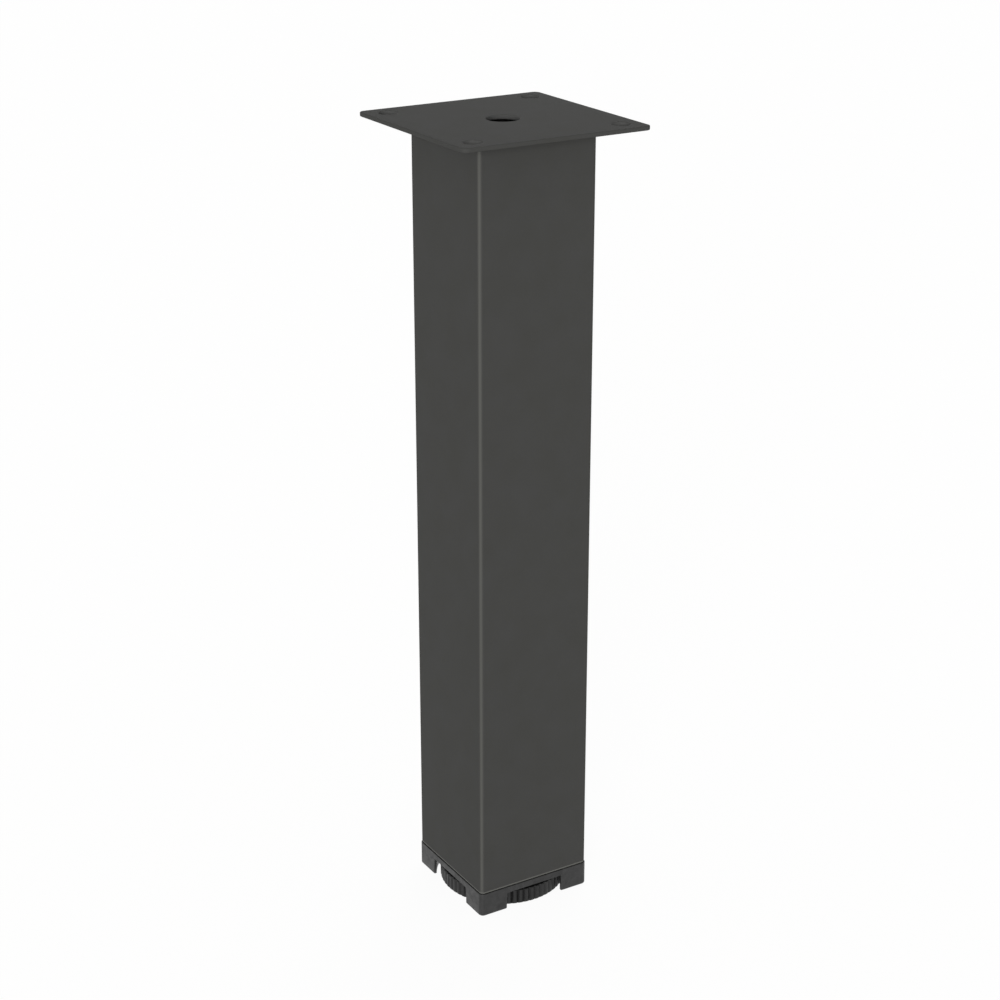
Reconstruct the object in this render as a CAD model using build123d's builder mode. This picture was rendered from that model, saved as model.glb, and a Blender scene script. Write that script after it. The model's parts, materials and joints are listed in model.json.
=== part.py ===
from build123d import *
import math
import os

# Square furniture leg with a welded screw plate and a levelling foot, in millimetres.
# The origin lies on the floor under the tube's axis, +Z is up and the tube's faces look along X and Y.
# The levelling wheel is drawn wound fully in, where the leg stands on the four posts of its shoe.

# Leg
leg_height = 380.0  # floor to the top of the plate, with the wheel wound in

# Square steel tube
tube_size = 60.0
tube_wall = 1.5
tube_inner_radius = 0.5
tube_end_chamfer = 0.6

# Screw plate
plate_width = 94.0
plate_thickness = 2.0
plate_corner_radius = 3.0
plate_edge_chamfer = 0.25
screw_hole_diameter = 8.5  # clears M8
screw_hole_inset = 10.0  # hole centre to each edge of the plate
centre_hole_diameter = 15.0

# Fillet weld under the plate
weld_leg = 2.0
weld_toe = 0.4

# Moulded shoe, seen below the tube
shoe_height = 12.0
shoe_lip = 0.4  # how far the shoe stands proud of the tube on each side
shoe_band = 3.2  # unbroken band between the notches and the tube's end
shoe_rim_chamfer = 0.4
shoe_foot_chamfer = 0.4
notch_width = 31.0
notch_edge_round = 0.7

# Plug of the shoe, inside the tube
plug_depth = 24.0
plug_clearance = 0.6
plug_wall = 2.4
plug_corner_radius = 2.0
plug_lead_in = 1.0
barb_count = 4
barb_height = 3.0
barb_land = 0.8  # flat of each barb that bears on the tube
barb_start = 2.0  # tube end to the first barb
barb_corner_gap = 5.0  # barbs stop this far from the plug's corners
rib_thickness = 2.0
boss_wall = 3.0

# Thread, nut and stud
stud_diameter = 10.0
stud_head_diameter = 16.0
stud_point = 1.0  # chamfer at the stud's upper end
stud_hole_clearance = 0.4
nut_across_flats = 17.0
nut_height = 8.0
nut_face_inset = 0.4  # flat to the round face where the corners are turned back
nut_pocket_clearance = 0.1
running_clearance = 0.05
travel = 15.0  # how far the wheel winds out

# Levelling wheel
wheel_proud = 0.6  # rim in front of the shoe's faces, where a finger turns it
wheel_clearance = 2.0  # rim to the well in the shoe
wheel_floor_gap = 0.3
wheel_roof_gap = 1.0
wheel_edge_chamfer = 0.8  # on the floor side
wheel_rim = 4.0
wheel_web = 2.6
wheel_rib_count = 8
wheel_rib_thickness = 2.0
wheel_rib_drop = 1.0  # ribs stop this far below the rim
wheel_floor = 2.0  # skin under the stud's head
hub_cover = 2.0  # skin over the stud's head
hub_wall = 3.0
knurl_count = 64
knurl_depth = 0.9

# Levels
tube_bottom = shoe_height
plate_bottom = leg_height - plate_thickness
notch_height = shoe_height - shoe_band
nut_bottom = tube_bottom
nut_top = nut_bottom + nut_height
stud_top = nut_top + travel + stud_point

# Widths and radii
tube_outer_radius = tube_inner_radius + tube_wall
tube_bore = tube_size - 2 * tube_wall
hole_spacing = plate_width - 2 * screw_hole_inset
shoe_size = tube_size + 2 * shoe_lip
shoe_corner_radius = tube_outer_radius + shoe_lip
plug_size = tube_bore - 2 * plug_clearance
plug_hollow = plug_size - 2 * plug_wall
barb_pitch = (plug_depth - barb_start - plug_lead_in) / barb_count
barb_length = plug_size - 2 * barb_corner_gap
nut_corner_radius = nut_across_flats / 2 / math.cos(math.radians(30))
nut_face_radius = nut_across_flats / 2 - nut_face_inset
nut_corner_drop = (nut_corner_radius - nut_face_radius) * math.tan(math.radians(30))
nut_bore = stud_diameter + 2 * running_clearance
nut_pocket_flats = nut_across_flats + 2 * nut_pocket_clearance
boss_radius = nut_corner_radius + nut_pocket_clearance + boss_wall

# Wheel section
wheel_radius = shoe_size / 2 + wheel_proud
well_radius = wheel_radius + wheel_clearance
wheel_bottom = wheel_floor_gap
wheel_top = notch_height - wheel_roof_gap
web_top = wheel_bottom + wheel_web
rim_inner_radius = wheel_radius - wheel_rim
stud_head_bottom = wheel_bottom + wheel_floor
stud_head_top = wheel_top - hub_cover
hub_radius = stud_head_diameter / 2 + hub_wall

os.makedirs("parts", exist_ok=True)


def borders_notch(edge):
    """Tell whether an upright edge of the shoe lies where a notch meets an outer face."""
    near, far = sorted((abs(edge.center().X), abs(edge.center().Y)))
    at_notch = math.isclose(near, notch_width / 2, abs_tol=1e-3)
    at_face = math.isclose(far, shoe_size / 2, abs_tol=1e-3)
    return at_notch and at_face


def borders_well(edge):
    """Tell whether an edge of the shoe lies on the wall of the wheel's well."""
    return edge.geom_type == GeomType.CIRCLE and math.isclose(edge.radius, well_radius, abs_tol=1e-3)


# Screw plate: laser-cut sheet with softened edges
with BuildPart() as top_plate:
    with BuildSketch(Plane.XY.offset(plate_bottom)):
        RectangleRounded(plate_width, plate_width, plate_corner_radius)
    extrude(amount=plate_thickness)
    chamfer(top_plate.faces().sort_by(Axis.Z)[-1].edges(), length=plate_edge_chamfer)
    chamfer(top_plate.faces().sort_by(Axis.Z)[0].edges(), length=plate_edge_chamfer)
    with BuildSketch(Plane.XY.offset(plate_bottom)):
        Circle(centre_hole_diameter / 2)
        with GridLocations(hole_spacing, hole_spacing, 2, 2):
            Circle(screw_hole_diameter / 2)
    extrude(amount=plate_thickness, mode=Mode.SUBTRACT)
top_plate.part.label = "top_plate"
export_step(top_plate.part, "parts/top_plate.step")

# Square tube, open at both ends, with its lower rim broken
with BuildPart() as leg_tube:
    with BuildSketch(Plane.XY.offset(tube_bottom)):
        RectangleRounded(tube_size, tube_size, tube_outer_radius)
    extrude(amount=plate_bottom - tube_bottom)
    chamfer(leg_tube.faces().sort_by(Axis.Z)[0].edges(), length=tube_end_chamfer)
    with BuildSketch(Plane.XY.offset(tube_bottom)):
        RectangleRounded(tube_bore, tube_bore, tube_inner_radius)
    extrude(amount=plate_bottom - tube_bottom, mode=Mode.SUBTRACT)
leg_tube.part.label = "leg_tube"
export_step(leg_tube.part, "parts/leg_tube.step")

# Fillet weld that runs round the tube under the plate
with BuildPart() as plate_weld:
    with BuildSketch(Plane.XY.offset(plate_bottom - weld_leg)):
        RectangleRounded(tube_size + 2 * weld_toe, tube_size + 2 * weld_toe, tube_outer_radius + weld_toe)
    with BuildSketch(Plane.XY.offset(plate_bottom)):
        RectangleRounded(tube_size + 2 * weld_leg, tube_size + 2 * weld_leg, tube_outer_radius + weld_leg)
    loft()
    with BuildSketch(Plane.XY.offset(plate_bottom - weld_leg)):
        RectangleRounded(tube_size, tube_size, tube_outer_radius)
    extrude(amount=weld_leg, mode=Mode.SUBTRACT)
plate_weld.part.label = "plate_weld"
export_step(plate_weld.part, "parts/plate_weld.step")

# Moulded shoe: collar with a round well and a finger notch in each side, and a barbed plug above it
with BuildPart() as foot_shoe:
    with BuildSketch():
        RectangleRounded(shoe_size, shoe_size, shoe_corner_radius)
    extrude(amount=shoe_height)
    chamfer(foot_shoe.faces().sort_by(Axis.Z)[-1].edges(), length=shoe_rim_chamfer)
    with BuildSketch():
        Circle(well_radius)
    extrude(amount=notch_height, mode=Mode.SUBTRACT)
    for side in (Plane.XZ, Plane.YZ):
        with BuildSketch(side):
            with Locations((0, notch_height / 2)):
                Rectangle(notch_width, notch_height)
        extrude(amount=shoe_size, both=True, mode=Mode.SUBTRACT)
    notch_lips = foot_shoe.edges().filter_by(Axis.Z).filter_by(borders_notch)
    fillet(notch_lips, radius=notch_edge_round)
    post_edges = foot_shoe.edges().group_by(Axis.Z)[0].filter_by(borders_well, reverse=True)
    chamfer(post_edges, length=shoe_foot_chamfer)

    # Hollow plug, with rows of barbs on each side that bear on the inside of the tube
    with BuildSketch(Plane.XY.offset(tube_bottom)):
        RectangleRounded(plug_size, plug_size, plug_corner_radius)
    extrude(amount=plug_depth)
    chamfer(foot_shoe.faces().sort_by(Axis.Z)[-1].edges(), length=plug_lead_in)
    for side in (Plane.XZ, Plane.YZ):
        with BuildSketch(side):
            for barb in range(barb_count):
                barb_bottom = tube_bottom + barb_start + barb * barb_pitch
                with BuildLine():
                    Polyline(
                        (plug_hollow / 2, barb_bottom),
                        (tube_bore / 2, barb_bottom),
                        (tube_bore / 2, barb_bottom + barb_land),
                        (plug_size / 2, barb_bottom + barb_height),
                        (plug_hollow / 2, barb_bottom + barb_height),
                        close=True,
                    )
                make_face()
            mirror(about=Plane.YZ)
        extrude(amount=barb_length / 2, both=True)
    with BuildSketch(Plane.XY.offset(tube_bottom)):
        Rectangle(plug_hollow, plug_hollow)
    extrude(amount=plug_depth, mode=Mode.SUBTRACT)

    # Nut boss, tied to the plug's walls by a cross of ribs
    with BuildSketch(Plane.XY.offset(tube_bottom)):
        Circle(boss_radius)
        Rectangle(plug_hollow + plug_wall, rib_thickness)
        Rectangle(rib_thickness, plug_hollow + plug_wall)
    extrude(amount=nut_height)
    with BuildSketch(Plane.XY.offset(nut_bottom)):
        RegularPolygon(nut_pocket_flats / 2, 6, major_radius=False)
    extrude(amount=nut_height, mode=Mode.SUBTRACT)
    with BuildSketch(Plane.XY.offset(notch_height)):
        Circle(stud_diameter / 2 + stud_hole_clearance)
    extrude(amount=shoe_band, mode=Mode.SUBTRACT)
foot_shoe.part.label = "foot_shoe"
export_step(foot_shoe.part, "parts/foot_shoe.step")

# Captive hexagon nut with its corners turned back
with BuildPart() as captive_nut:
    with BuildSketch(Plane.XY.offset(nut_bottom)):
        RegularPolygon(nut_across_flats / 2, 6, major_radius=False)
    extrude(amount=nut_height)
    with BuildSketch(Plane.XZ):
        with BuildLine():
            Polyline(
                (nut_bore / 2, nut_bottom),
                (nut_face_radius, nut_bottom),
                (nut_corner_radius, nut_bottom + nut_corner_drop),
                (nut_corner_radius, nut_top - nut_corner_drop),
                (nut_face_radius, nut_top),
                (nut_bore / 2, nut_top),
                close=True,
            )
        make_face()
    revolve(axis=Axis.Z, mode=Mode.INTERSECT)
captive_nut.part.label = "captive_nut"
export_step(captive_nut.part, "parts/captive_nut.step")

# Levelling stud: the head is moulded into the wheel, the shank runs up through the nut
with BuildPart() as adjuster_stud:
    with BuildSketch(Plane.XY.offset(stud_head_bottom)):
        Circle(stud_head_diameter / 2)
    extrude(amount=stud_head_top - stud_head_bottom)
    with BuildSketch(Plane.XY.offset(stud_head_top)):
        Circle(stud_diameter / 2)
    extrude(amount=stud_top - stud_head_top)
    chamfer(adjuster_stud.faces().sort_by(Axis.Z)[-1].edges(), length=stud_point)
adjuster_stud.part.label = "adjuster_stud"
export_step(adjuster_stud.part, "parts/adjuster_stud.step")

# Levelling wheel: turned section with a pocket for the stud's head, ribs on top and a knurled rim
with BuildPart() as adjuster_wheel:
    with BuildSketch(Plane.XZ):
        with BuildLine():
            Polyline(
                (0, wheel_bottom),
                (wheel_radius - wheel_edge_chamfer, wheel_bottom),
                (wheel_radius, wheel_bottom + wheel_edge_chamfer),
                (wheel_radius, wheel_top),
                (rim_inner_radius, wheel_top),
                (rim_inner_radius, web_top),
                (hub_radius, web_top),
                (hub_radius, wheel_top),
                (stud_diameter / 2 + running_clearance, wheel_top),
                (stud_diameter / 2 + running_clearance, stud_head_top + running_clearance),
                (stud_head_diameter / 2 + running_clearance, stud_head_top + running_clearance),
                (stud_head_diameter / 2 + running_clearance, stud_head_bottom - running_clearance),
                (0, stud_head_bottom - running_clearance),
                close=True,
            )
        make_face()
    revolve(axis=Axis.Z)
    with BuildSketch(Plane.XY.offset(web_top)):
        with PolarLocations((hub_radius + rim_inner_radius) / 2, wheel_rib_count):
            Rectangle(rim_inner_radius - hub_radius + wheel_rib_thickness, wheel_rib_thickness)
    extrude(amount=wheel_top - wheel_rib_drop - web_top)
    with BuildSketch(Plane.XY.offset(wheel_bottom)):
        with PolarLocations(wheel_radius, knurl_count):
            Rectangle(knurl_depth * math.sqrt(2), knurl_depth * math.sqrt(2), rotation=45)
    extrude(amount=wheel_top - wheel_bottom, mode=Mode.SUBTRACT)
adjuster_wheel.part.label = "adjuster_wheel"
export_step(adjuster_wheel.part, "parts/adjuster_wheel.step")
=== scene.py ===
"""Square furniture leg with a welded screw plate and a levelling foot.

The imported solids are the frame. Each piece is modelled again here at the size that the frame gives, with the
rounded edges, weld ripples, thread and finishes that the solids leave plain. Lengths are in metres.
"""

import json
import logging
import math
from abc import ABC, abstractmethod
from dataclasses import dataclass
from enum import Enum
from typing import ClassVar

import bmesh
import bpy
from bmesh.types import BMEdge, BMesh, BMFace, BMVert
from mathutils import Matrix, Vector

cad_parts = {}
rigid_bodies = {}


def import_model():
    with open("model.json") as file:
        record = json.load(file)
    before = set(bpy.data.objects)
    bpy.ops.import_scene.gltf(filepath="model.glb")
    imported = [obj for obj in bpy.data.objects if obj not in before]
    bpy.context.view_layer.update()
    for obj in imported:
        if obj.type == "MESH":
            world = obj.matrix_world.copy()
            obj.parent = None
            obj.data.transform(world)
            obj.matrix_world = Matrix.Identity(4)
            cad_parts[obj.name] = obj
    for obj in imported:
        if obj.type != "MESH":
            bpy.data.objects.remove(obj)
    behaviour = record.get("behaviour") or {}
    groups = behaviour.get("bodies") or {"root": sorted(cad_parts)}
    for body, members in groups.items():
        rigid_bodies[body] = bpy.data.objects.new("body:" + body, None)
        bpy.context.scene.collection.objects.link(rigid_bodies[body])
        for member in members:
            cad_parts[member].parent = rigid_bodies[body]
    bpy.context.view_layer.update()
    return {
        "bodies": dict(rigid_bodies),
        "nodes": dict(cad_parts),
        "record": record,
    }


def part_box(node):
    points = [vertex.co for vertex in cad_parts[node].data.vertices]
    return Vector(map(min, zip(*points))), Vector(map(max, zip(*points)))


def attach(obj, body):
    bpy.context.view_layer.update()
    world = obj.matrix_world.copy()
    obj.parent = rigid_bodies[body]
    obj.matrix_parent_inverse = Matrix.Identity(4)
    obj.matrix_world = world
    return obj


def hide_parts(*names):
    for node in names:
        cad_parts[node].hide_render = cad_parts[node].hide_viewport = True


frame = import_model()

LOG = logging.getLogger("furniture_leg")

MM = 0.001
MERGE_DISTANCE = 0.001 * MM
CORNER_STEPS = 8  # facets in each quarter round of an outline
ROUNDING_STEPS = 3  # facets across a rounded edge
SHARP_ANGLE = math.radians(40)  # edges sharper than this are rounded or shaded as creases
FLAT_ANGLE = math.radians(0.5)  # faces this close to one plane are joined
SQUARE_SIDES = 4
NUT_NODE = "captive_nut"  # keeps its CAD shape
WHITE = (1.0, 1.0, 1.0, 1.0)

# Sockets of the colour Mix node, whose inputs share their names with those of its other data types
MIX_FACTOR, MIX_A, MIX_B, MIX_RESULT = 0, 6, 7, 2


class Body(Enum):
    """Moving bodies of the frame."""

    LEG = "leg"
    STUD = "stud"
    WHEEL = "wheel"


class Slot(Enum):
    """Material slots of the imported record."""

    COAT = "powder_coat"
    SHOE = "shoe_plastic"
    WHEEL = "wheel_plastic"
    ZINC = "zinc_steel"


class Cut(Enum):
    """Ways to combine a solid with another."""

    JOIN = "UNION"
    TAKE_AWAY = "DIFFERENCE"


def srgb(code: str) -> tuple[float, float, float, float]:
    """Turn an sRGB hex colour to the linear colour that shaders read.

    Args:
        code: Colour such as "#484845".

    Returns:
        Linear red, green and blue, with an alpha of 1.
    """
    channels = [int(code[i : i + 2], 16) / 255 for i in (1, 3, 5)]
    # The constants are those of the sRGB standard.
    linear = [c / 12.92 if c <= 0.04045 else ((c + 0.055) / 1.055) ** 2.4 for c in channels]
    return (*linear, 1.0)


def add_node(
    tree: bpy.types.NodeTree,
    kind: str,
    settings: dict[str, object] | None = None,
    inputs: dict[str | int, object] | None = None,
) -> bpy.types.Node:
    """Add a node with its settings and links.

    Args:
        tree: Tree that the node goes into.
        kind: Blender's name for the node's type.
        settings: Properties of the node.
        inputs: A value, or a socket to link, for each input by name or number.

    Returns:
        The new node.
    """
    node = tree.nodes.new(kind)
    for name, value in (settings or {}).items():
        setattr(node, name, value)
    for key, value in (inputs or {}).items():
        if isinstance(value, bpy.types.NodeSocket):
            tree.links.new(value, node.inputs[key])
        else:
            node.inputs[key].default_value = value
    return node


def per_metre(size_mm: float) -> float:
    """Give the texture scale at which one cell of a pattern is size_mm across."""
    return 1 / (size_mm * MM)


@dataclass(frozen=True)
class Finish(ABC):
    """Surface of a real material, drawn with procedural nodes on Object coordinates."""

    name: str

    def material(self) -> bpy.types.Material:
        """Make the material, with the finish's own nodes around one Principled shader.

        Returns:
            The new material.
        """
        material = bpy.data.materials.new(self.name)
        material.use_nodes = True
        tree = material.node_tree
        tree.nodes.clear()
        coordinates = add_node(tree, "ShaderNodeTexCoord").outputs["Object"]
        shader = add_node(tree, "ShaderNodeBsdfPrincipled", inputs=self.surface(tree, coordinates))
        add_node(tree, "ShaderNodeOutputMaterial", inputs={"Surface": shader.outputs["BSDF"]})
        return material

    @abstractmethod
    def surface(self, tree: bpy.types.NodeTree, coordinates: bpy.types.NodeSocket) -> dict[str, object]:
        """Draw the finish.

        Args:
            tree: Tree of the material.
            coordinates: Object coordinates, in metres.

        Returns:
            Values and sockets for the Principled shader's inputs.
        """


@dataclass(frozen=True)
class PowderCoat(Finish):
    """Satin polyester powder coat: an even dark skin with a faint orange peel that softens reflections."""

    dark: str = "#434341"
    light: str = "#454544"
    roughness: float = 0.6
    specular: float = 0.032
    ior: float = 1.5
    cloud_mm: float = 14.0
    cloud_detail: float = 2.0
    speck_mm: float = 0.9
    speck_detail: float = 3.0
    speck_weight: float = 0.5  # against 1 for the clouds
    tone_low: float = 0.5  # sum of clouds and specks where the coat is darkest
    tone_high: float = 1.0  # and where it is lightest
    peel_mm: float = 1.8
    peel_detail: float = 1.0
    peel_height_mm: float = 0.006

    def surface(self, tree: bpy.types.NodeTree, coordinates: bpy.types.NodeSocket) -> dict[str, object]:
        """Draw slow clouds of tone, fine specks and the orange peel.

        Args:
            tree: Tree of the material.
            coordinates: Object coordinates, in metres.

        Returns:
            Values and sockets for the Principled shader's inputs.
        """
        cloud, speck, peel = (
            add_node(
                tree, "ShaderNodeTexNoise",
                inputs={"Vector": coordinates, "Scale": per_metre(size), "Detail": detail},
            ).outputs["Fac"]
            for size, detail in (
                (self.cloud_mm, self.cloud_detail),
                (self.speck_mm, self.speck_detail),
                (self.peel_mm, self.peel_detail),
            )
        )
        tone = add_node(
            tree, "ShaderNodeMath", {"operation": "MULTIPLY_ADD"}, {0: speck, 1: self.speck_weight, 2: cloud}
        )
        share = add_node(
            tree, "ShaderNodeMapRange",
            inputs={"Value": tone.outputs["Value"], "From Min": self.tone_low, "From Max": self.tone_high},
        )
        colour = add_node(
            tree, "ShaderNodeMix", {"data_type": "RGBA"},
            {MIX_FACTOR: share.outputs["Result"], MIX_A: srgb(self.dark), MIX_B: srgb(self.light)},
        )
        bump = add_node(
            tree, "ShaderNodeBump", inputs={"Height": peel, "Distance": self.peel_height_mm * MM}
        )
        return {
            "Base Color": colour.outputs[MIX_RESULT],
            "Roughness": self.roughness,
            "Specular IOR Level": self.specular,
            "IOR": self.ior,
            "Normal": bump.outputs["Normal"],
        }


@dataclass(frozen=True)
class HighlightedCoat(PowderCoat):
    """Powder coat of the tube, with fine lighter lines painted along its corners and its lower rim as painted
    highlights, where the coat is also made glossier.
    """

    # Painted highlight colours, for the corners and for the lower rim
    painted_light: str = "#555552"
    rim_highlight: str = "#636360"
    highlight_roughness: float = 0.45
    corner_start_mm: float = 1.6  # how far in from a corner's two faces the painted highlight sets in
    corner_full_mm: float = 0.6  # and where it is full
    rim_mm: float = 0.9  # height of the upper side of the painted rim highlight
    rim_turn_mm: float = 0.3  # and of its lower side, below which the rim turns in and keeps the plain coat colour
    rim_fade_mm: float = 0.3

    def surface(self, tree: bpy.types.NodeTree, coordinates: bpy.types.NodeSocket) -> dict[str, object]:
        """Draw the coat, paint highlights on its corners and its lower rim, and make it glossier there.

        Args:
            tree: Tree of the material.
            coordinates: Object coordinates, in metres.

        Returns:
            Values and sockets for the Principled shader's inputs.
        """
        coat = super().surface(tree, coordinates)
        low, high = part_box(SquareTube.node)
        split = add_node(tree, "ShaderNodeSeparateXYZ", inputs={"Vector": coordinates}).outputs
        across, along = (
            add_node(tree, "ShaderNodeMath", {"operation": "ABSOLUTE"}, {0: split[axis]}).outputs["Value"]
            for axis in "XY"
        )
        nearer = add_node(tree, "ShaderNodeMath", {"operation": "MINIMUM"}, {0: across, 1: along})
        corner = add_node(
            tree, "ShaderNodeMapRange", {"interpolation_type": "SMOOTHSTEP"},
            {
                "Value": nearer.outputs["Value"],
                "From Min": high.x - self.corner_start_mm * MM,
                "From Max": high.x - self.corner_full_mm * MM,
            },
        )
        below, above = (
            add_node(
                tree, "ShaderNodeMapRange", {"interpolation_type": "SMOOTHSTEP"},
                {
                    "Value": split["Z"],
                    "From Min": low.z + (height + fade) * MM,
                    "From Max": low.z + height * MM,
                },
            ).outputs["Result"]
            for height, fade in ((self.rim_mm, self.rim_fade_mm), (self.rim_turn_mm, -self.rim_fade_mm))
        )
        rim = add_node(tree, "ShaderNodeMath", {"operation": "MULTIPLY"}, {0: below, 1: above})
        masks = corner.outputs["Result"], rim.outputs["Value"]
        colour = coat["Base Color"]
        # Painted highlights: lighter tones on the corners and on the lower rim
        for mask, tone in zip(masks, (self.painted_light, self.rim_highlight)):
            colour = add_node(
                tree, "ShaderNodeMix", {"data_type": "RGBA"},
                {MIX_FACTOR: mask, MIX_A: colour, MIX_B: srgb(tone)},
            ).outputs[MIX_RESULT]
        # Where the highlights are painted, the coat is glossier too
        painted_light = add_node(tree, "ShaderNodeMath", {"operation": "MAXIMUM"}, {0: masks[0], 1: masks[1]})
        sheen = add_node(
            tree, "ShaderNodeMapRange",
            inputs={
                "Value": painted_light.outputs["Value"],
                "To Min": self.roughness,
                "To Max": self.highlight_roughness,
            },
        )
        return {**coat, "Base Color": colour, "Roughness": sheen.outputs["Result"]}


@dataclass(frozen=True)
class DrilledCoat(PowderCoat):
    """Powder coat of the plate, painted lighter on the walls of its holes, as painted light where the holes
    are shaded.
    """

    painted_light: str = "#515150"
    wall_mm: float = 0.05  # how far past a hole's radius the painted light is full
    fade_mm: float = 0.2

    def surface(self, tree: bpy.types.NodeTree, coordinates: bpy.types.NodeSocket) -> dict[str, object]:
        """Draw the coat and paint light into each hole by lightening its walls.

        Args:
            tree: Tree of the material.
            coordinates: Object coordinates, in metres.

        Returns:
            Values and sockets for the Principled shader's inputs.
        """
        coat = super().surface(tree, coordinates)
        colour = coat["Base Color"]
        # Heights are set to nothing, so that distances are measured from a hole's axis.
        level = add_node(
            tree, "ShaderNodeVectorMath", {"operation": "MULTIPLY"}, {0: coordinates, 1: (1.0, 1.0, 0.0)}
        )
        for place, radius in ScrewPlate.holes():
            distance = add_node(
                tree, "ShaderNodeVectorMath", {"operation": "DISTANCE"},
                {0: level.outputs["Vector"], 1: place},
            )
            wall = add_node(
                tree, "ShaderNodeMapRange", {"interpolation_type": "SMOOTHSTEP"},
                {
                    "Value": distance.outputs["Value"],
                    "From Min": radius + (self.wall_mm + self.fade_mm) * MM,
                    "From Max": radius + self.wall_mm * MM,
                },
            )
            # Painted light on the hole's walls, which lie in shade
            colour = add_node(
                tree, "ShaderNodeMix", {"data_type": "RGBA"},
                {MIX_FACTOR: wall.outputs["Result"], MIX_A: colour, MIX_B: srgb(self.painted_light)},
            ).outputs[MIX_RESULT]
        return {**coat, "Base Color": colour}


@dataclass(frozen=True)
class MouldedPlastic(Finish):
    """Injection-moulded plastic: a spark-eroded grain scatters its sheen, and the melt's flow mottles it."""

    dark: str = "#151515"
    light: str = "#2A2A2A"
    roughness_low: float = 0.36
    roughness_high: float = 0.52
    specular: float = 0.4
    ior: float = 1.53
    flow_mm: float = 3.5
    flow_detail: float = 4.0
    flow_swirl: float = 0.6
    mottle_low: float = 0.3  # level of the flow's noise where the plastic is darkest
    mottle_high: float = 0.7  # and where it is lightest
    grain_mm: float = 0.45
    grain_detail: float = 2.0
    grain_height_mm: float = 0.02

    def surface(self, tree: bpy.types.NodeTree, coordinates: bpy.types.NodeSocket) -> dict[str, object]:
        """Draw the mottle of the melt and the grain of the mould.

        Args:
            tree: Tree of the material.
            coordinates: Object coordinates, in metres.

        Returns:
            Values and sockets for the Principled shader's inputs.
        """
        flow = add_node(
            tree, "ShaderNodeTexNoise",
            inputs={
                "Vector": coordinates,
                "Scale": per_metre(self.flow_mm),
                "Detail": self.flow_detail,
                "Distortion": self.flow_swirl,
            },
        )
        mottle = add_node(
            tree, "ShaderNodeMapRange",
            inputs={"Value": flow.outputs["Fac"], "From Min": self.mottle_low, "From Max": self.mottle_high},
        ).outputs["Result"]
        colour = add_node(
            tree, "ShaderNodeMix", {"data_type": "RGBA"},
            {MIX_FACTOR: mottle, MIX_A: srgb(self.dark), MIX_B: srgb(self.light)},
        )
        sheen = add_node(
            tree, "ShaderNodeMapRange",
            inputs={"Value": mottle, "To Min": self.roughness_high, "To Max": self.roughness_low},
        )
        # The real grain is near 0.1 mm, which is too fine to show, so it is drawn coarser.
        grain = add_node(
            tree, "ShaderNodeTexNoise",
            inputs={
                "Vector": coordinates, "Scale": per_metre(self.grain_mm), "Detail": self.grain_detail
            },
        )
        bump = add_node(
            tree, "ShaderNodeBump",
            inputs={"Height": grain.outputs["Fac"], "Distance": self.grain_height_mm * MM},
        )
        return {
            "Base Color": colour.outputs[MIX_RESULT],
            "Roughness": sheen.outputs["Result"],
            "Specular IOR Level": self.specular,
            "IOR": self.ior,
            "Normal": bump.outputs["Normal"],
        }


@dataclass(frozen=True)
class ZincPlate(Finish):
    """Bright zinc plating on steel: a cool metal with a fine crystalline bloom that varies its gloss."""

    dark: str = "#B9BDC1"
    light: str = "#D2D5D7"
    roughness_low: float = 0.24
    roughness_high: float = 0.42
    bloom_mm: float = 1.6
    bloom_detail: float = 5.0

    def surface(self, tree: bpy.types.NodeTree, coordinates: bpy.types.NodeSocket) -> dict[str, object]:
        """Draw the bloom of the plating.

        Args:
            tree: Tree of the material.
            coordinates: Object coordinates, in metres.

        Returns:
            Values and sockets for the Principled shader's inputs.
        """
        bloom = add_node(
            tree, "ShaderNodeTexNoise",
            inputs={
                "Vector": coordinates, "Scale": per_metre(self.bloom_mm), "Detail": self.bloom_detail
            },
        ).outputs["Fac"]
        colour = add_node(
            tree, "ShaderNodeMix", {"data_type": "RGBA"},
            {MIX_FACTOR: bloom, MIX_A: srgb(self.dark), MIX_B: srgb(self.light)},
        )
        gloss = add_node(
            tree, "ShaderNodeMapRange",
            inputs={"Value": bloom, "To Min": self.roughness_low, "To Max": self.roughness_high},
        )
        return {
            "Base Color": colour.outputs[MIX_RESULT],
            "Roughness": gloss.outputs["Result"],
            "Metallic": 1.0,
        }


def round_corners(shape: BMesh, corners: list[BMVert], radius: float, steps: int) -> None:
    """Round the corners of a flat outline or section.

    Args:
        shape: Bmesh that holds the corners.
        corners: Corners to round.
        radius: How far the rounding reaches along each side.
        steps: Facets in each corner.
    """
    bmesh.ops.bevel(
        shape, geom=corners, offset=radius, offset_type="OFFSET", segments=steps,
        profile=0.5, affect="VERTICES", material=-1,
    )


def rounded_square(shape: BMesh, size: float, radius: float, height: float) -> BMFace:
    """Start an empty bmesh with a flat square that has round corners.

    Args:
        shape: Empty bmesh.
        size: Width over the flats.
        radius: Radius of the corners.
        height: Level that the square lies at.

    Returns:
        The square's one face.
    """
    grid = bmesh.ops.create_grid(
        shape, x_segments=1, y_segments=1, size=size / 2, matrix=Matrix.Translation((0, 0, height))
    )
    round_corners(shape, grid["verts"], radius, CORNER_STEPS)
    shape.faces.ensure_lookup_table()
    return shape.faces[0]


def open_up(shape: BMesh, face: BMFace, rim: float) -> list[BMEdge]:
    """Cut the middle out of a face and leave a rim of even width.

    Args:
        shape: Bmesh that holds the face.
        face: Face to open, which is used up.
        rim: Width of what is left.

    Returns:
        The edges of the opening.
    """
    bmesh.ops.inset_region(shape, faces=[face], thickness=rim, use_boundary=True, use_even_offset=True)
    edges = face.edges[:]
    bmesh.ops.delete(shape, geom=[face], context="FACES_ONLY")
    return edges


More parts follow.
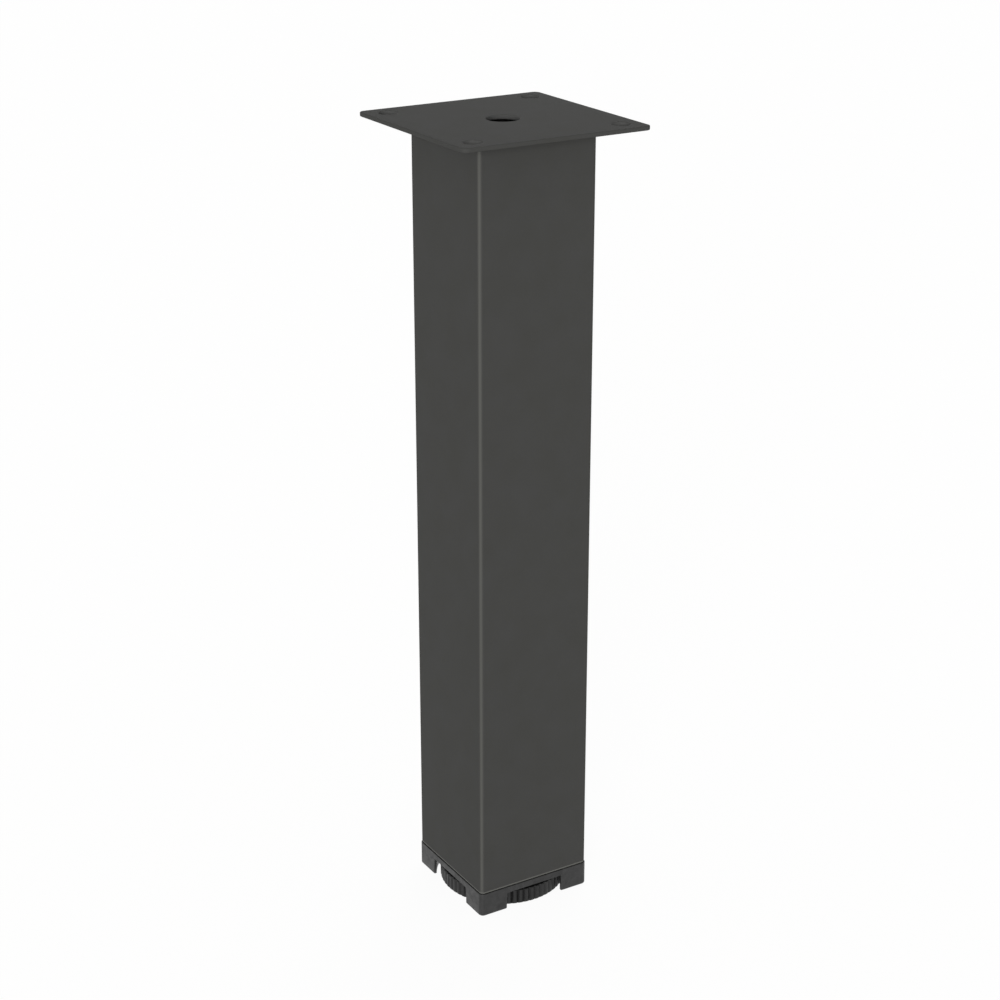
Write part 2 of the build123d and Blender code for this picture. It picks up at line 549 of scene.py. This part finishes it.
def raise_up(shape: BMesh, height: float) -> None:
    """Extrude a flat sheet of faces to a closed solid.

    Args:
        shape: Bmesh that holds only the sheet.
        height: How far the sheet's copy rises.
    """
    raised = bmesh.ops.extrude_face_region(shape, geom=shape.faces[:])["geom"]
    risen = [v for v in raised if isinstance(v, BMVert)]
    bmesh.ops.translate(shape, vec=(0, 0, height), verts=risen)
    bmesh.ops.recalc_face_normals(shape, faces=shape.faces[:])


def draw_section(shape: BMesh, section: list[tuple[float, float]]) -> list[BMVert]:
    """Draw an open line of edges in the XZ plane, to be spun round the Z axis.

    Args:
        shape: Bmesh that the line goes into.
        section: Radius and level of each point.

    Returns:
        The line's points, in order.
    """
    points = [shape.verts.new((radius, 0, level)) for radius, level in section]
    for start, end in zip(points, points[1:]):
        shape.edges.new((start, end))
    return points


def draw_wall(shape: BMesh, ring: list[BMEdge]) -> tuple[list[BMEdge], set[BMVert]]:
    """Draw a wall of faces from a ring of edges.

    Args:
        shape: Bmesh that holds the ring.
        ring: Edges that the wall starts from.

    Returns:
        The edges of the wall's far side, which still lie on the ring, and their vertices.
    """
    drawn = bmesh.ops.extrude_edge_only(shape, edges=ring)["geom"]
    far_side = [e for e in drawn if isinstance(e, BMEdge)]
    return far_side, {v for e in far_side for v in e.verts}


def square_bar(size: float, radius: float, bottom: float, top: float) -> BMesh:
    """Make an upright square bar with round corners.

    Args:
        size: Width over the flats.
        radius: Radius of the corners.
        bottom: Level of the lower end.
        top: Level of the upper end.

    Returns:
        The closed bar.
    """
    shape = bmesh.new()
    rounded_square(shape, size, radius, bottom)
    raise_up(shape, top - bottom)
    return shape


def prism(sides: int, radius: float, bottom: float, top: float) -> BMesh:
    """Make an upright prism or cylinder on the Z axis, with a corner towards X.

    Args:
        sides: Number of sides.
        radius: Radius to the corners.
        bottom: Level of the lower end.
        top: Level of the upper end.

    Returns:
        The closed prism.
    """
    shape = bmesh.new()
    place = Matrix.Translation((0, 0, (bottom + top) / 2)) @ Matrix.Rotation(math.pi / 2, 4, "Z")
    bmesh.ops.create_cone(
        shape, cap_ends=True, segments=sides, radius1=radius, radius2=radius, depth=top - bottom, matrix=place
    )
    return shape


def block(low: tuple[float, float, float], high: tuple[float, float, float]) -> BMesh:
    """Make a box between two corners.

    Args:
        low: Lowest corner.
        high: Highest corner.

    Returns:
        The closed box.
    """
    centre, size = (Vector(low) + Vector(high)) / 2, Vector(high) - Vector(low)
    shape = bmesh.new()
    bmesh.ops.create_cube(shape, size=1.0, matrix=Matrix.LocRotScale(centre, None, size))
    return shape


def as_object(shape: BMesh, name: str) -> bpy.types.Object:
    """Turn a bmesh to an object at the origin and free it.

    Args:
        shape: Finished bmesh.
        name: Name for the mesh and the object.

    Returns:
        The new object, linked to the scene.
    """
    mesh = bpy.data.meshes.new(name)
    shape.to_mesh(mesh)
    shape.free()
    made = bpy.data.objects.new(name, mesh)
    bpy.context.scene.collection.objects.link(made)
    return made


def combine(base: BMesh, *steps: tuple[Cut, BMesh]) -> BMesh:
    """Join solids to a base and cut others out of it, in the order given.

    Args:
        base: Solid to start from, which is used up.
        steps: How each further solid is combined, and the solid, which is used up too.

    Returns:
        The combined solid, with its coplanar faces joined.
    """
    body = as_object(base, "workpiece")
    tools = []
    for number, (cut, tool) in enumerate(steps):
        tools.append(as_object(tool, f"tool_{number}"))
        modifier = body.modifiers.new(f"cut_{number}", "BOOLEAN")
        modifier.operation, modifier.solver, modifier.object = cut.value, "EXACT", tools[-1]
    mesh = bpy.data.meshes.new_from_object(body.evaluated_get(bpy.context.evaluated_depsgraph_get()))
    shape = bmesh.new()
    shape.from_mesh(mesh)
    for used in (mesh, *(o.data for o in (body, *tools))):
        bpy.data.meshes.remove(used)
    bmesh.ops.remove_doubles(shape, verts=shape.verts[:], dist=MERGE_DISTANCE)
    bmesh.ops.dissolve_limit(shape, angle_limit=FLAT_ANGLE, verts=shape.verts[:], edges=shape.edges[:])
    return shape


def creases(shape: BMesh) -> list[BMEdge]:
    """List the edges where two faces meet at more than SHARP_ANGLE."""
    return [e for e in shape.edges if e.is_manifold and e.calc_face_angle() > SHARP_ANGLE]


def round_edges(shape: BMesh, edges: list[BMEdge], radius: float) -> None:
    """Round edges off.

    Args:
        shape: Bmesh that holds the edges.
        edges: Edges to round.
        radius: How far the rounding reaches along each side.
    """
    bmesh.ops.bevel(
        shape, geom=edges, offset=radius, offset_type="OFFSET", segments=ROUNDING_STEPS,
        profile=0.5, affect="EDGES", material=-1, clamp_overlap=True,
    )


@dataclass
class Piece(ABC):
    """One piece of the leg, modelled in place of a CAD node."""

    material: bpy.types.Material

    name: ClassVar[str]
    node: ClassVar[str]
    body: ClassVar[Body]
    slot: ClassVar[Slot]

    @abstractmethod
    def shape(self) -> BMesh:
        """Model the piece at rest, in the frame.

        Returns:
            The closed shape.
        """

    def make(self) -> bpy.types.Object:
        """Model, dress and place the piece.

        Returns:
            The finished piece, which rides on its body and stands for its node.
        """
        piece = as_object(self.shape(), self.name)
        piece.data.shade_smooth()
        piece.data.set_sharp_from_angle(angle=SHARP_ANGLE)
        piece.data.materials.append(self.material)
        shading = piece.modifiers.new("even_shading", "WEIGHTED_NORMAL")
        shading.keep_sharp = True
        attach(piece, self.body.value)
        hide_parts(self.node)
        faces = len(piece.data.polygons)
        LOG.info("%s stands for %s on %s, %d faces", self.name, self.node, self.body.value, faces)
        return piece


@dataclass
class ScrewPlate(Piece):
    """Laser-cut steel plate with a screw hole in each corner and a larger hole in the middle."""

    corner_radius: float = 3.0 * MM
    edge_round: float = 0.45 * MM
    rim_margin: float = 1.2 * MM  # ring of faces kept round each rim, so that its rounding runs even
    hole_steps: int = 48

    name = "screw_plate"
    node = "top_plate"
    body = Body.LEG
    slot = Slot.COAT

    @staticmethod
    def holes() -> list[tuple[Vector, float]]:
        """Read the holes from the record's mounts.

        Returns:
            Place and radius of each hole.
        """
        mounts = {mount["name"]: mount for mount in frame["record"]["mounts"]}
        bore, screws = mounts["plate_centre_hole"], mounts["plate_screws"]
        middle = Vector(bore["pos_m"][:2]).to_3d()
        reach = Vector((screws["dims"]["spacing_x_mm"], screws["dims"]["spacing_y_mm"])) * MM / 2
        corners = [Vector((x * reach.x, y * reach.y, 0)) for x in (-1, 1) for y in (-1, 1)]
        screw_radius = screws["dims"]["hole_r_mm"] * MM
        return [(middle, bore["dims"]["r_mm"] * MM), *((corner, screw_radius) for corner in corners)]

    def shape(self) -> BMesh:
        """Fill the sheet between its outline and its holes, thicken it and round its rims.

        Returns:
            The closed plate.
        """
        low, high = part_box(self.node)
        shape = bmesh.new()
        sheet = rounded_square(shape, high.x - low.x, self.corner_radius, low.z)
        rims = open_up(shape, sheet, self.rim_margin)
        for place, radius in self.holes():
            centre = Matrix.Translation((*place.xy, low.z))
            inner, outer = (
                bmesh.ops.create_circle(shape, segments=self.hole_steps, radius=reach, matrix=centre)["verts"]
                for reach in (radius, radius + self.rim_margin)
            )
            inner_edges, outer_edges = ({e for v in loop for e in v.link_edges} for loop in (inner, outer))
            bmesh.ops.bridge_loops(shape, edges=[*inner_edges, *outer_edges])
            rims += outer_edges
        bmesh.ops.triangle_fill(shape, use_beauty=True, edges=rims, normal=(0, 0, 1))
        raise_up(shape, high.z - low.z)
        round_edges(shape, creases(shape), self.edge_round)
        return shape


@dataclass
class SquareTube(Piece):
    """Cold-formed square tube, open at both ends, with its cut lower rim broken."""

    wall: float = 1.5 * MM
    corner_radius: float = 2.0 * MM
    rim_round: float = 0.6 * MM

    name = "square_tube"
    node = "leg_tube"
    body = Body.LEG
    slot = Slot.COAT

    def shape(self) -> BMesh:
        """Inset the outline by the wall, draw it out to the tube's length and round the lower rim.

        Returns:
            The closed tube wall.
        """
        low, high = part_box(self.node)
        shape = bmesh.new()
        open_up(shape, rounded_square(shape, high.x - low.x, self.corner_radius, low.z), self.wall)
        raise_up(shape, high.z - low.z)
        lower_rim = [e for e in creases(shape) if all(v.co.z < low.z + MERGE_DISTANCE for v in e.verts)]
        round_edges(shape, lower_rim, self.rim_round)
        return shape


@dataclass
class WeldBead(Piece):
    """Fillet weld round the tube under the plate: a slightly crowned bead with the ripples of its passes."""

    crown: float = 0.25 * MM
    ripple: float = 0.09 * MM
    ripple_pitch: float = 1.8 * MM
    cuts_per_side: int = 160
    section_steps: int = 6

    name = "weld_bead"
    node = "plate_weld"
    body = Body.LEG
    slot = Slot.COAT

    def shape(self) -> BMesh:
        """Draw the tube's outline out along the bead's section and close it against tube and plate.

        Returns:
            The closed bead.
        """
        low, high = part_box(self.node)
        tube_low, tube_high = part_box(SquareTube.node)
        radius = SquareTube.corner_radius
        core = tube_high.x - radius
        leg = high.z - low.z
        shape = bmesh.new()
        face = rounded_square(shape, tube_high.x - tube_low.x, radius, low.z)
        sides = [e for e in face.edges if e.calc_length() > radius]
        bmesh.ops.delete(shape, geom=[face], context="FACES_ONLY")
        bmesh.ops.subdivide_edges(shape, edges=sides, cuts=self.cuts_per_side)
        first = ring = shape.edges[:]
        # How far out and up each ring lies, as shares of the bead's leg; the last one is in the corner.
        shares = [step / self.section_steps for step in range(1, self.section_steps + 1)]
        for out, up in [*zip(shares, shares), (0.0, 1.0)]:
            ring, corners = draw_wall(shape, ring)
            for vert in corners:
                inner = Vector((max(-core, min(core, vert.co.x)), max(-core, min(core, vert.co.y))))
                outward = (vert.co.xy - inner).normalized()
                wave = math.sin(math.tau * (vert.co.x - vert.co.y) / self.ripple_pitch)
                # The bead's face leans at 45 degrees, so it swells as far down as out.
                swell = math.sin(math.pi * out) * (self.crown + self.ripple * wave) / math.sqrt(2)
                vert.co.xy = inner + outward * (radius + leg * out + swell)
                vert.co.z = low.z + leg * up - swell
        bmesh.ops.bridge_loops(shape, edges=first + ring)
        bmesh.ops.recalc_face_normals(shape, faces=shape.faces[:])
        return shape


@dataclass
class LevellingShoe(Piece):
    """Moulded shoe: a collar with four posts round the wheel's well, and a barbed plug up inside the tube."""

    corner_radius: float = 2.4 * MM
    band: float = 3.2 * MM
    notch_width: float = 31.0 * MM
    lip_round: float = 0.7 * MM  # round the notches and the posts' feet
    edge_round: float = 0.4 * MM
    well_radius: float = 33.0 * MM
    well_steps: int = 180
    plug_clearance: float = 0.6 * MM
    plug_wall: float = 2.4 * MM
    plug_corner_radius: float = 2.0 * MM
    barb_count: int = 4
    barb_height: float = 3.0 * MM
    barb_start: float = 2.0 * MM
    barb_pitch: float = 5.25 * MM
    barb_corner_gap: float = 5.0 * MM
    rib_thickness: float = 2.0 * MM
    boss_wall: float = 3.0 * MM
    nut_sides: int = 6
    nut_clearance: float = 0.1 * MM
    stud_hole_radius: float = 5.4 * MM
    sink: float = 1.0 * MM  # how far solids that are joined or cut run into each other

    name = "levelling_shoe"
    node = "foot_shoe"
    body = Body.LEG
    slot = Slot.SHOE

    def barbs(self, plug_size: float, bottom: float) -> BMesh:
        """Make the rows of barbs that grip the inside of the tube, tapered towards the plug's end.

        Args:
            plug_size: Width of the plug over its sides.
            bottom: Level of the tube's end.

        Returns:
            One closed wedge for each barb.
        """
        face, tip = plug_size / 2, plug_size / 2 + self.plug_clearance
        reach = plug_size / 2 - self.barb_corner_gap
        shape = bmesh.new()
        for side in range(SQUARE_SIDES):
            turn = Matrix.Rotation(side * math.tau / SQUARE_SIDES, 3, "Z")
            for row in range(self.barb_count):
                level = bottom + self.barb_start + row * self.barb_pitch
                centre = Vector(((face - self.sink + tip) / 2, 0, level + self.barb_height / 2))
                size = Vector((tip - face + self.sink, 2 * reach, self.barb_height))
                place = Matrix.LocRotScale(centre, None, size)
                wedge = bmesh.ops.create_cube(shape, size=1.0, matrix=place)["verts"]
                upper = [v for v in wedge if v.co.z > centre.z and v.co.x > centre.x]
                bmesh.ops.translate(shape, vec=(face - tip, 0, 0), verts=upper)
                bmesh.ops.rotate(shape, cent=(0, 0, 0), matrix=turn, verts=wedge)
        return shape

    def shape(self) -> BMesh:
        """Carve the collar, add the plug with its nut boss and round the collar's edges.

        Returns:
            The closed shoe.
        """
        low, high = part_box(self.node)
        nut_low, nut_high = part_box(NUT_NODE)
        collar_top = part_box(SquareTube.node)[0].z
        notch_top = collar_top - self.band
        half, past = high.x, 2 * high.x  # the notches' cutters reach past the collar
        plug_size = 2 * (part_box(SquareTube.node)[1].x - SquareTube.wall - self.plug_clearance)
        hollow = plug_size / 2 - self.plug_wall
        under, deck = low.z - self.sink, collar_top - self.sink
        notch, rib = self.notch_width / 2, self.rib_thickness / 2
        nut_radius = nut_high.x + self.nut_clearance

        shape = combine(
            square_bar(high.x - low.x, self.corner_radius, low.z, collar_top),
            (Cut.TAKE_AWAY, prism(self.well_steps, self.well_radius, under, notch_top)),
            (Cut.TAKE_AWAY, block((-notch, -past, under), (notch, past, notch_top))),
            (Cut.TAKE_AWAY, block((-past, -notch, under), (past, notch, notch_top))),
            (Cut.JOIN, square_bar(plug_size, self.plug_corner_radius, deck, high.z)),
            (Cut.JOIN, self.barbs(plug_size, collar_top)),
            (Cut.TAKE_AWAY, block((-hollow, -hollow, collar_top), (hollow, hollow, high.z + self.sink))),
            (Cut.JOIN, prism(self.well_steps, nut_radius + self.boss_wall, deck, nut_high.z)),
            (Cut.JOIN, block((-hollow - self.sink, -rib, deck), (hollow + self.sink, rib, nut_high.z))),
            (Cut.JOIN, block((-rib, -hollow - self.sink, deck), (rib, hollow + self.sink, nut_high.z))),
            (Cut.TAKE_AWAY, prism(self.nut_sides, nut_radius, nut_low.z, nut_high.z + self.sink)),
            (Cut.TAKE_AWAY, prism(self.well_steps, self.stud_hole_radius, under, nut_high.z)),
        )
        lips = [e for e in creases(shape) if self.borders_notch(e, half) or self.skirts_foot(e, low.z)]
        round_edges(shape, lips, self.lip_round)
        collar_edges = [
            e for e in creases(shape)
            if e.is_convex
            and all(v.co.z < notch_top + MERGE_DISTANCE or self.on_rim(v.co, half) for v in e.verts)
        ]
        round_edges(shape, collar_edges, self.edge_round)
        return shape

    def borders_notch(self, edge: BMEdge, half: float) -> bool:
        """Tell whether an edge is an upright one where a notch opens in an outer face.

        Args:
            edge: Edge of the collar.
            half: Half the collar's width.

        Returns:
            True for such an edge.
        """
        start, end = (v.co for v in edge.verts)
        near, far = sorted((abs(start.x), abs(start.y)))
        upright = (start.xy - end.xy).length < MERGE_DISTANCE
        at_notch = abs(near - self.notch_width / 2) < MERGE_DISTANCE
        at_face = abs(far - half) < MERGE_DISTANCE
        return upright and at_notch and at_face

    def skirts_foot(self, edge: BMEdge, bottom: float) -> bool:
        """Tell whether an edge runs round a post's foot, apart from the wheel's well.

        Args:
            edge: Edge of the collar.
            bottom: Level of the posts' feet.

        Returns:
            True for such an edge.
        """
        down = all(v.co.z < bottom + MERGE_DISTANCE for v in edge.verts)
        return down and any(v.co.xy.length > self.well_radius + MERGE_DISTANCE for v in edge.verts)

    def on_rim(self, point: Vector, half: float) -> bool:
        """Tell whether a point is on the collar's outline, outside the tube's bore."""
        return max(abs(point.x), abs(point.y)) > half - self.corner_radius


@dataclass
class LevellingWheel(Piece):
    """Moulded wheel: a knurled rim for the finger, a thin floor, a hub for the stud's head, and ribs."""

    proud: float = 0.6 * MM  # rim in front of the shoe's faces
    rim: float = 4.0 * MM
    web: float = 2.6 * MM
    hub_wall: float = 3.0 * MM
    hub_cover: float = 2.0 * MM
    clearance: float = 0.05 * MM  # round the stud and its head
    rib_count: int = 8
    rib_thickness: float = 2.0 * MM
    rib_drop: float = 1.0 * MM
    rib_round: float = 0.3 * MM
    sink: float = 0.5 * MM  # how far the ribs run into the hub, the rim and the floor
    edge_round: float = 0.6 * MM
    floor_round: float = 0.9 * MM  # on the floor side of the rim, where the teeth run out
    tooth_count: int = 64
    tooth_depth: float = 0.9 * MM
    steps_per_tooth: int = 8

    name = "levelling_wheel"
    node = "adjuster_wheel"
    body = Body.WHEEL
    slot = Slot.WHEEL

    def knurled(self, angle: float, radius: float) -> float:
        """Give how far the rim reaches at an angle round the wheel.

        Args:
            angle: Angle from the X axis, in radians.
            radius: Radius over the teeth.

        Returns:
            Radius at that angle, with round-bottomed grooves between the teeth.
        """
        turn = angle * self.tooth_count / math.tau
        half_width = self.tooth_depth * self.tooth_count / (math.tau * radius)
        from_groove = min(1.0, abs(turn - round(turn)) / half_width)
        return radius - self.tooth_depth * (1 + math.cos(math.pi * from_groove)) / 2

    def ribs(self, inner: float, outer: float, bottom: float, top: float) -> BMesh:
        """Make the ribs between hub and rim.

        Args:
            inner: Radius where they start.
            outer: Radius where they end.
            bottom: Level of their foot.
            top: Level of their top.

        Returns:
            One closed bar for each rib.
        """
        shape = bmesh.new()
        centre = Vector(((inner + outer) / 2, 0, (bottom + top) / 2))
        size = Vector((outer - inner, self.rib_thickness, top - bottom))
        for number in range(self.rib_count):
            turn = Matrix.Rotation(number * math.tau / self.rib_count, 4, "Z")
            bmesh.ops.create_cube(shape, size=1.0, matrix=turn @ Matrix.LocRotScale(centre, None, size))
        upper = [e for e in shape.edges if all(v.co.z > centre.z for v in e.verts)]
        round_edges(shape, upper, self.rib_round)
        return shape

    def shape(self) -> BMesh:
        """Turn the section, press the knurl into its rim and join the ribs.

        Returns:
            The closed wheel.
        """
        low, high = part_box(self.node)
        stud_low, stud_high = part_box(ThreadedStud.node)
        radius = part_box(LevellingShoe.node)[1].x + self.proud
        rim_inner = radius - self.rim
        head, hub = stud_high.x + self.clearance, stud_high.x + self.hub_wall
        bore = ThreadedStud.thread_radius + self.clearance
        floor, web_top = stud_low.z - self.clearance, low.z + self.web
        cover = high.z - self.hub_cover + self.clearance
        section = [
            (0, low.z), (radius, low.z), (radius, high.z), (rim_inner, high.z),
            (rim_inner, web_top), (hub, web_top), (hub, high.z), (bore, high.z),
            (bore, cover), (head, cover), (head, floor), (0, floor),
        ]
        shape = bmesh.new()
        _, foot, *rest = draw_section(shape, section)
        others = [v for v in rest if v.co.x > bore]
        for corners, reach in (([foot], self.floor_round), (others, self.edge_round)):
            round_corners(shape, corners, reach, ROUNDING_STEPS)
        bmesh.ops.spin(
            shape, geom=shape.verts[:] + shape.edges[:], cent=(0, 0, 0), axis=(0, 0, 1), angle=math.tau,
            steps=self.tooth_count * self.steps_per_tooth, use_merge=True,
        )
        bmesh.ops.remove_doubles(shape, verts=shape.verts[:], dist=MERGE_DISTANCE)
        for vert in shape.verts:
            reach = self.knurled(math.atan2(vert.co.y, vert.co.x), radius)
            if vert.co.xy.length > reach:
                vert.co.xy = vert.co.xy.normalized() * reach
        bmesh.ops.recalc_face_normals(shape, faces=shape.faces[:])
        ribs = self.ribs(hub - self.sink, rim_inner + self.sink, web_top - self.sink, high.z - self.rib_drop)
        return combine(shape, (Cut.JOIN, ribs))


@dataclass
class ThreadedStud(Piece):
    """Levelling stud: a coarse metric thread with a pointed tip, and a plain head moulded into the wheel."""

    thread_radius: float = 5.0 * MM
    pitch: float = 1.5 * MM
    thread_depth: float = 0.92 * MM
    root_share: float = 0.25  # of the pitch
    crest_share: float = 0.125  # of the pitch
    point: float = 1.0 * MM
    head_height: float = 3.5 * MM
    steps_per_turn: int = 48
    lead_in: int = 2  # turns below the shank, which are trimmed off

    name = "threaded_stud"
    node = "adjuster_stud"
    body = Body.STUD
    slot = Slot.ZINC

    def shape(self) -> BMesh:
        """Wind one pitch of the thread up the shank, trim it, point its tip and draw the head.

        Returns:
            The closed stud.
        """
        low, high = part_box(self.node)
        head_top = low.z + self.head_height
        root = self.thread_radius - self.thread_depth
        flank = (1 - self.root_share - self.crest_share) / 2
        rise = [0, self.root_share, self.root_share + flank, self.root_share + flank + self.crest_share, 1]
        reach = [root, root, self.thread_radius, self.thread_radius, root]
        start = head_top - self.lead_in * self.pitch
        turns = math.ceil((high.z - head_top) / self.pitch) + self.lead_in
        shape = bmesh.new()
        draw_section(shape, [(radius, start + share * self.pitch) for radius, share in zip(reach, rise)])
        bmesh.ops.spin(
            shape, geom=shape.verts[:] + shape.edges[:], cent=(0, 0, 0), axis=(0, 0, 1),
            dvec=(0, 0, self.pitch / self.steps_per_turn), angle=turns * math.tau,
            steps=turns * self.steps_per_turn,
        )
        bmesh.ops.remove_doubles(shape, verts=shape.verts[:], dist=MERGE_DISTANCE)
        for level, up in ((head_top, -1), (high.z, 1)):
            bmesh.ops.bisect_plane(
                shape, geom=shape.verts[:] + shape.edges[:] + shape.faces[:], dist=MERGE_DISTANCE,
                plane_co=(0, 0, level), plane_no=(0, 0, up), clear_outer=True,
            )
        for vert in shape.verts:
            limit = self.thread_radius - max(0.0, vert.co.z - (high.z - self.point))
            if vert.co.xy.length > limit:
                vert.co.xy = vert.co.xy.normalized() * limit
        foot = [e for e in shape.edges if e.is_boundary and e.verts[0].co.z < head_top + self.pitch]
        self.draw_head(shape, foot, high.x, head_top, low.z)
        bmesh.ops.holes_fill(shape, edges=[e for e in shape.edges if e.is_boundary])
        bmesh.ops.recalc_face_normals(shape, faces=shape.faces[:])
        return shape

    @staticmethod
    def draw_head(shape: BMesh, foot: list[BMEdge], radius: float, top: float, bottom: float) -> None:
        """Draw the head from the thread's lower end.

        Args:
            shape: Bmesh of the thread.
            foot: Edges of the thread's lower end.
            radius: Radius of the head.
            top: Level of the head's upper face.
            bottom: Level of its lower face.
        """
        for level in (top, bottom):
            foot, corners = draw_wall(shape, foot)
            for vert in corners:
                vert.co.xy = vert.co.xy.normalized() * radius
                vert.co.z = level


@dataclass
class SoftLight:
    """Broad studio light, so far away that leg and floor are lit evenly."""

    name: str
    azimuth: float  # degrees round from the front, positive to the right
    elevation: float  # degrees above the floor
    spread: float  # degrees that it fills, which softens the shadows
    level: float  # how bright a white card looks that faces it
    gleams: bool = True  # whether glossy surfaces mirror it

    def hang(self) -> None:
        """Hang the light, facing the leg."""
        lamp = bpy.data.lights.new(self.name, "SUN")
        lamp.energy, lamp.angle = self.level * math.pi, math.radians(self.spread)
        hung = bpy.data.objects.new(self.name, lamp)
        turn, tilt = math.radians(self.azimuth), math.radians(self.elevation)
        back = Vector((math.sin(turn) * math.cos(tilt), -math.cos(turn) * math.cos(tilt), math.sin(tilt)))
        hung.location = back
        hung.rotation_euler = back.to_track_quat("Z", "Y").to_euler()
        hung.visible_glossy = self.gleams
        bpy.context.scene.collection.objects.link(hung)


@dataclass
class Studio:
    """Pale sweep, soft light and the camera."""

    floor_size: float = 30.0  # so wide that no edge shows
    floor_colour: str = "#F4F4F2"
    floor_white: float = 0.9  # share of plain white that the eye sees in the floor, the rest is its own shade
    floor_strength: float = 1.04  # of that white, which brings the lit floor just under white
    backdrop: float = 0.99  # as bright as the lit floor, so that no horizon shows
    ambient: float = 0.42
    camera_azimuth: float = -31.1  # degrees round from the front, positive to the right
    camera_pitch: float = 21.4  # degrees that it looks down
    camera_distance: float = 0.9153  # from the leg's axis, along the floor
    camera_height: float = 0.5595
    camera_aside: float = -0.0012  # to the right of the leg's axis
    lens_mm: float = 75.6  # on the usual 36 mm sensor
    # A low key light that faces the tube's front corner, and a weaker fill behind the leg
    lights: tuple[SoftLight, ...] = (
        SoftLight("key_light", azimuth=-40.0, elevation=7.0, spread=24.0, level=0.82),
        SoftLight("fill_light", azimuth=135.0, elevation=10.0, spread=60.0, level=0.45, gleams=False),
    )

    @staticmethod
    def seen(tree: bpy.types.NodeTree) -> bpy.types.NodeSocket:
        """Tell the rays that show a surface from those that only light others.

        Args:
            tree: Tree of a material or the world.

        Returns:
            A socket that is 1 for camera, glossy and transmission rays, and otherwise 0.
        """
        path = add_node(tree, "ShaderNodeLightPath")
        total = path.outputs["Is Camera Ray"]
        for kind in ("Is Glossy Ray", "Is Transmission Ray"):
            total = add_node(
                tree, "ShaderNodeMath", {"operation": "MAXIMUM"}, {0: total, 1: path.outputs[kind]}
            ).outputs["Value"]
        return total

    def lay_floor(self) -> None:
        """Lay the floor, which stays under the foot as the wheel lifts the leg, and is clear from below."""
        shape = bmesh.new()
        bmesh.ops.create_grid(shape, x_segments=1, y_segments=1, size=self.floor_size / 2)
        floor = as_object(shape, "floor")
        material = bpy.data.materials.new("pale_studio_floor")
        material.use_nodes = True
        tree = material.node_tree
        tree.nodes.clear()
        share = add_node(
            tree, "ShaderNodeMath", {"operation": "MULTIPLY"}, {0: self.seen(tree), 1: self.floor_white}
        )
        matt = add_node(tree, "ShaderNodeBsdfDiffuse", inputs={"Color": srgb(self.floor_colour)})
        white = add_node(tree, "ShaderNodeEmission", inputs={"Strength": self.floor_strength})
        upper = add_node(
            tree, "ShaderNodeMixShader",
            inputs={0: share.outputs["Value"], 1: matt.outputs["BSDF"], 2: white.outputs["Emission"]},
        )
        under = add_node(tree, "ShaderNodeNewGeometry").outputs["Backfacing"]
        clear = add_node(tree, "ShaderNodeBsdfTransparent")
        surface = add_node(
            tree, "ShaderNodeMixShader",
            inputs={0: under, 1: upper.outputs["Shader"], 2: clear.outputs["BSDF"]},
        )
        add_node(tree, "ShaderNodeOutputMaterial", inputs={"Surface": surface.outputs["Shader"]})
        floor.data.materials.append(material)
        floor.parent = frame["bodies"][Body.STUD.value]

    def fill_sky(self) -> None:
        """Light the studio evenly from all sides, with a nearly white ground behind the leg."""
        world = bpy.data.worlds.new("studio")
        bpy.context.scene.world = world
        world.use_nodes = True
        tree = world.node_tree
        tree.nodes.clear()
        light, ground = (
            add_node(
                tree, "ShaderNodeBackground", inputs={"Strength": strength, "Color": WHITE}
            ).outputs["Background"]
            for strength in (self.ambient, self.backdrop)
        )
        mixed = add_node(tree, "ShaderNodeMixShader", inputs={0: self.seen(tree), 1: light, 2: ground})
        add_node(tree, "ShaderNodeOutputWorld", inputs={"Surface": mixed.outputs["Shader"]})

    def set_camera(self) -> None:
        """Set the camera where the leg is seen from above a corner."""
        lens = bpy.data.cameras.new("camera")
        lens.lens = self.lens_mm
        camera = bpy.data.objects.new("camera", lens)
        turn = math.radians(self.camera_azimuth)
        ahead = Vector((-math.sin(turn), math.cos(turn), 0))
        right = Vector((math.cos(turn), math.sin(turn), 0))
        camera.location = right * self.camera_aside - ahead * self.camera_distance
        camera.location.z = self.camera_height
        camera.rotation_euler = (math.pi / 2 - math.radians(self.camera_pitch), 0, turn)
        bpy.context.scene.collection.objects.link(camera)
        bpy.context.scene.camera = camera

    def set_up(self) -> None:
        """Set the whole studio up."""
        self.lay_floor()
        self.fill_sky()
        for light in self.lights:
            light.hang()
        self.set_camera()
        bpy.context.scene.view_settings.view_transform = "Standard"
        LOG.info("studio is set up")


def dress_nut(material: bpy.types.Material) -> None:
    """Give the captive nut, which keeps its CAD shape, its plating."""
    frame["nodes"][NUT_NODE].material_slots[0].material = material
    LOG.info("%s is plated", NUT_NODE)


def main() -> None:
    """Build the leg piece by piece and set it in the studio."""
    coat = PowderCoat("satin_anthracite_powder_coat").material()
    plate_coat = DrilledCoat("drilled_anthracite_powder_coat").material()
    tube_coat = HighlightedCoat("highlighted_anthracite_powder_coat").material()
    shoe = MouldedPlastic("moulded_grey_polypropylene").material()
    wheel = MouldedPlastic(
        "moulded_charcoal_nylon", dark="#0D0D0D", light="#191919", specular=0.32
    ).material()
    zinc = ZincPlate("bright_zinc_plate").material()
    for piece in (
        ScrewPlate(plate_coat),
        SquareTube(tube_coat),
        WeldBead(coat),
        LevellingShoe(shoe),
        LevellingWheel(wheel),
        ThreadedStud(zinc),
    ):
        piece.make()
    dress_nut(zinc)
    Studio().set_up()


if __name__ == "__main__":
    logging.basicConfig(level=logging.INFO, format="%(message)s")
    main()
